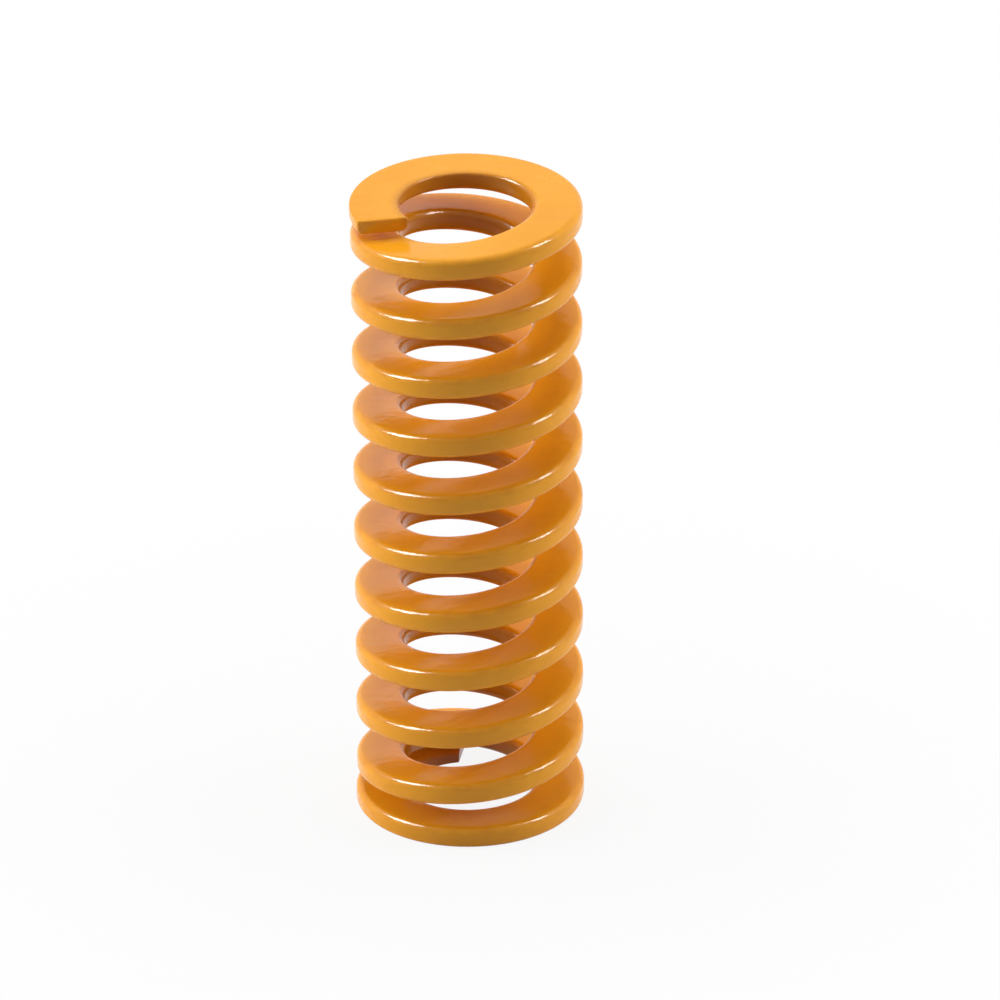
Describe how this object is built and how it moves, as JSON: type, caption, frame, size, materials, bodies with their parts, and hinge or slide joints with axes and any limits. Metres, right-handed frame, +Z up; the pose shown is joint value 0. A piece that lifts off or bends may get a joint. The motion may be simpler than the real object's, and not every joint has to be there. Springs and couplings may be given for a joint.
{
  "type": "die spring",
  "caption": "Standing compression spring coiled right-handed from flat, round-cornered wire, with closed ends ground flat, coated glossy orange.",
  "frame": {"origin": "centre of the ground bottom face, on the coil's axis, where the spring stands", "axes": "+Z up along the coil's axis; the wire starts at the bottom at 94.5 degrees from +X and rises anticlockwise seen from above; the picture's viewer stands at -Y"},
  "size_m": [0.0244, 0.0244, 0.07],
  "materials": {
    "orange_coat": "glossy orange-yellow coat over spring steel, the ground ends coated too"
  },
  "bodies": {
    "root": {"spring": "orange_coat"}
  },
  "joints": []
}
